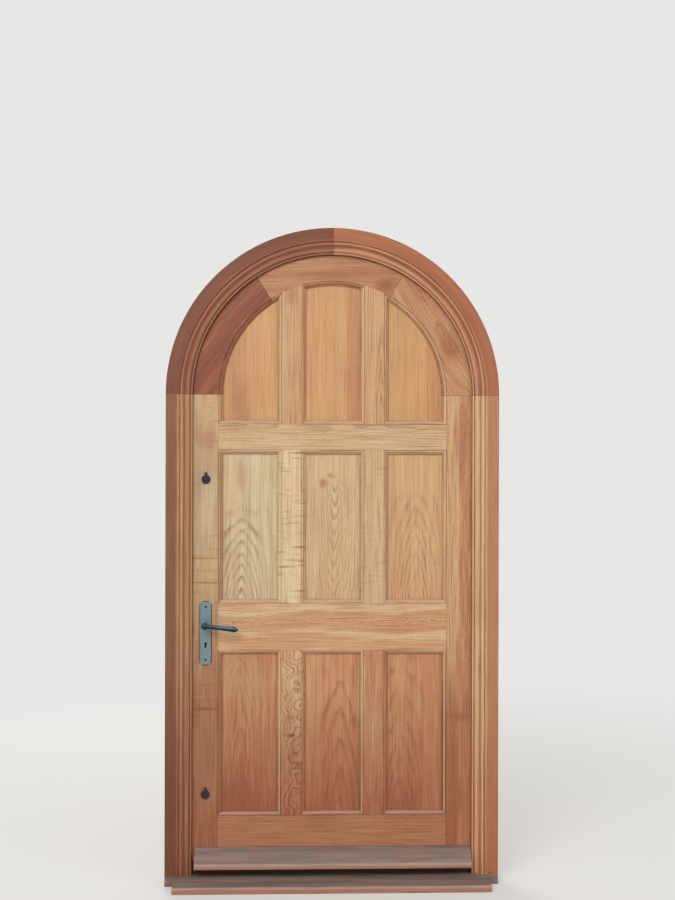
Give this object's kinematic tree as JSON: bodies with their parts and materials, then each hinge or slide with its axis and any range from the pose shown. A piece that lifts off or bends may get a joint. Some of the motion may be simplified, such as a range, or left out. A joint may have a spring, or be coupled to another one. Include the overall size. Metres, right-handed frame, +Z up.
{
  "type": "arched wooden entrance door",
  "caption": "Round-headed framed oak door with flat panels, weatherboard, lever handles and keyhole drop covers, hung in its moulded and rebated arched frame on a timber sill.",
  "frame": {"origin": "underside of the sill, below the frame's outer face, midway between the jambs", "axes": "+Z up, +Y into the building, +X to the right as seen from outside; the hinges are on +X"},
  "size_m": [1.2, 0.212, 2.365],
  "materials": {
    "frame_oak": "oiled oak, satin, with worked mouldings",
    "weathered_oak": "weathered grey-brown oak",
    "stile_oak": "oiled oak with upright grain",
    "rail_oak": "oiled oak with level grain",
    "panel_oak": "oiled crown-cut oak",
    "pewter_plate": "pewter patina, matt",
    "black_iron": "blackened iron, semi-matt",
    "lock_steel": "brushed",
    "hinge_steel": "satin",
    "screw_steel": "darkened"
  },
  "bodies": {
    "frame": {"frame_head_left": "frame_oak", "frame_head_right": "frame_oak", "lock_jamb": "frame_oak", "hinge_jamb": "frame_oak", "sill": "weathered_oak", "sash_keep": "lock_steel", "upper_keep": "lock_steel", "lower_keep": "lock_steel", "hinge_frame_leaf_1": "hinge_steel", "hinge_frame_leaf_2": "hinge_steel", "hinge_frame_leaf_3": "hinge_steel", "hinge_pins": "hinge_steel", "frame_screws": "screw_steel"},
    "leaf": {"lock_stile": "stile_oak", "hinge_stile": "stile_oak", "head_rail_left": "rail_oak", "head_rail_crown": "rail_oak", "head_rail_right": "rail_oak", "upper_rail": "rail_oak", "lock_rail": "rail_oak", "bottom_rail": "rail_oak", "bottom_muntin_left": "stile_oak", "bottom_muntin_right": "stile_oak", "centre_muntin_left": "stile_oak", "centre_muntin_right": "stile_oak", "top_muntin_left": "stile_oak", "top_muntin_right": "stile_oak", "bottom_panel_left": "panel_oak", "bottom_panel_middle": "panel_oak", "bottom_panel_right": "panel_oak", "centre_panel_left": "panel_oak", "centre_panel_middle": "panel_oak", "centre_panel_right": "panel_oak", "top_panel_left": "panel_oak", "top_panel_middle": "panel_oak", "top_panel_right": "panel_oak", "weatherboard": "weathered_oak", "sash_lock_case": "lock_steel", "upper_deadlock_case": "lock_steel", "lower_deadlock_case": "lock_steel", "outside_handle_plate": "pewter_plate", "inside_handle_plate": "pewter_plate", "upper_escutcheon": "black_iron", "lower_escutcheon": "black_iron", "inner_escutcheons": "black_iron", "hinge_door_leaf_1": "hinge_steel", "hinge_door_leaf_2": "hinge_steel", "hinge_door_leaf_3": "hinge_steel", "leaf_screws": "screw_steel"},
    "levers": {"outside_lever": "black_iron", "inside_lever": "black_iron", "spindle": "lock_steel", "follower": "lock_steel"},
    "latch": {"latch_bolt": "lock_steel"},
    "sash_bolt": {"sash_deadbolt": "lock_steel"},
    "upper_bolt": {"upper_deadbolt": "lock_steel"},
    "lower_bolt": {"lower_deadbolt": "lock_steel"},
    "upper_cover": {"upper_keyhole_cover": "black_iron"},
    "lower_cover": {"lower_keyhole_cover": "black_iron"}
  },
  "joints": [
    {"name": "leaf_swing", "type": "hinge", "parent": "frame", "child": "leaf", "pos_m": [0.5155, 0.082, 0], "axis": [0, 0, -1], "range_deg": [0, 105]},
    {"name": "lever_turn", "type": "hinge", "parent": "leaf", "child": "levers", "pos_m": [-0.457, 0.048, 0.935], "axis": [0, 1, 0], "range_deg": [0, 38], "stiffness_Nm_per_rad": 1.2, "springref_deg": -40.11},
    {"name": "latch_slide", "type": "slide", "parent": "leaf", "child": "latch", "axis": [1, 0, 0], "range_m": [0, 0.012]},
    {"name": "sash_bolt_throw", "type": "slide", "parent": "leaf", "child": "sash_bolt", "axis": [-1, 0, 0], "range_m": [0, 0.02]},
    {"name": "upper_bolt_throw", "type": "slide", "parent": "leaf", "child": "upper_bolt", "axis": [-1, 0, 0], "range_m": [0, 0.02]},
    {"name": "lower_bolt_throw", "type": "slide", "parent": "leaf", "child": "lower_bolt", "axis": [-1, 0, 0], "range_m": [0, 0.02]},
    {"name": "upper_cover_swing", "type": "hinge", "parent": "leaf", "child": "upper_cover", "pos_m": [-0.457, 0.017, 1.48], "axis": [0, 1, 0], "range_deg": [-110, 110]},
    {"name": "lower_cover_swing", "type": "hinge", "parent": "leaf", "child": "lower_cover", "pos_m": [-0.457, 0.017, 0.345], "axis": [0, 1, 0], "range_deg": [-110, 110]}
  ],
  "couplings": [
    {"joint": "latch_slide", "follows": "lever_turn", "m_per_rad": 0.018}
  ]
}
